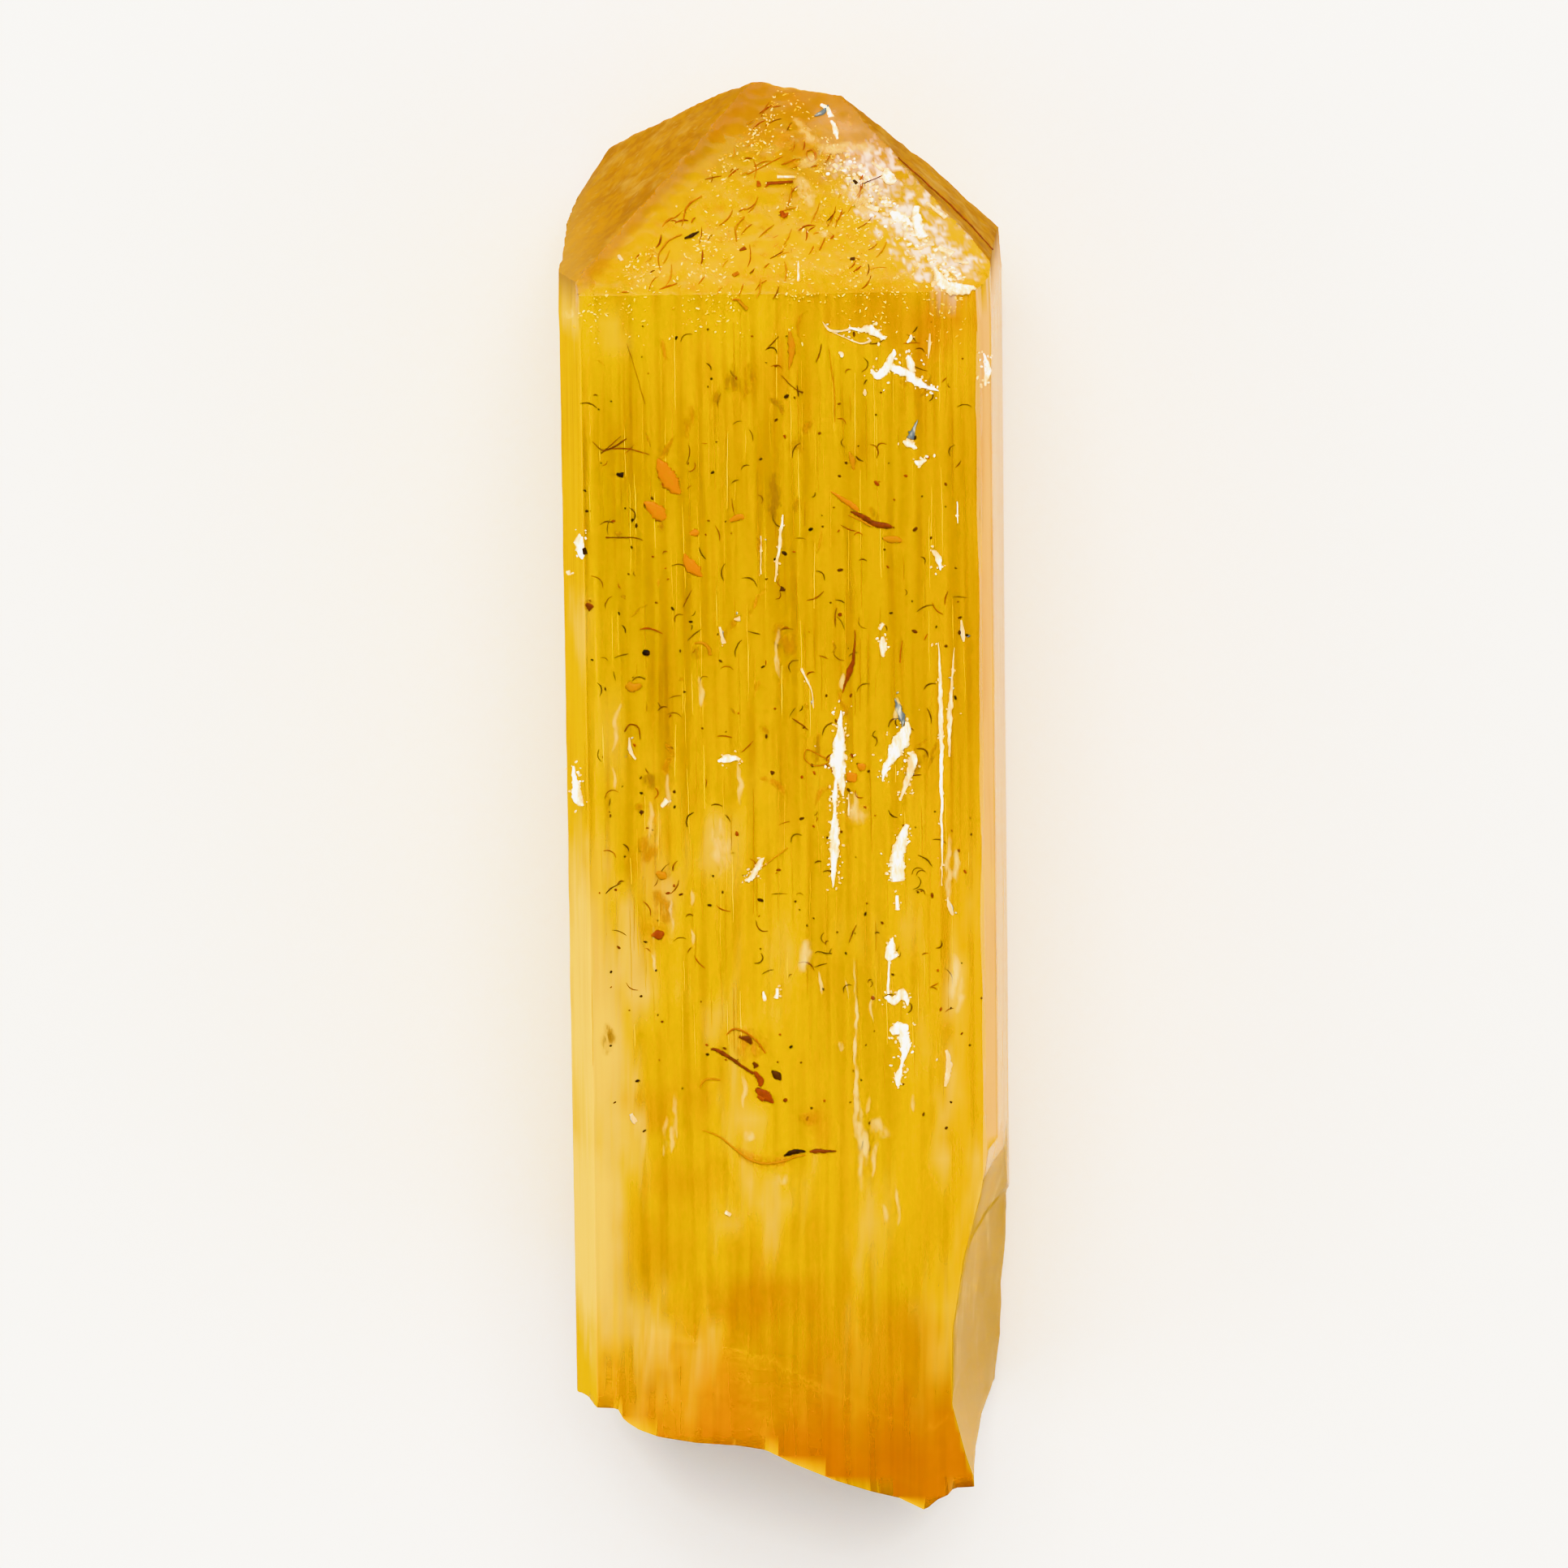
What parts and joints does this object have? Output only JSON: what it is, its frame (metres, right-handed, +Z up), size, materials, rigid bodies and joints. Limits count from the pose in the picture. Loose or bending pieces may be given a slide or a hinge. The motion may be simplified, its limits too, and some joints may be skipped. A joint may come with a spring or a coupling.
{
  "type": "imperial topaz crystal",
  "caption": "Long golden see-through topaz prism with a faceted pyramid at one end and a broken end at the other, lying on a prism face.",
  "frame": {"origin": "middle of the crystal's bounding box at the level of the prism face it rests on", "axes": "+Y along the c axis towards the faceted end, +X across the crystal, +Z up through the front prism face"},
  "size_m": [0.0113, 0.036, 0.0098],
  "materials": {
    "golden_topaz": "see-through golden topaz, vitreous, finely striated along its length, with etched and pitted end faces"
  },
  "bodies": {
    "root": {"topaz_crystal": "golden_topaz"}
  },
  "joints": []
}
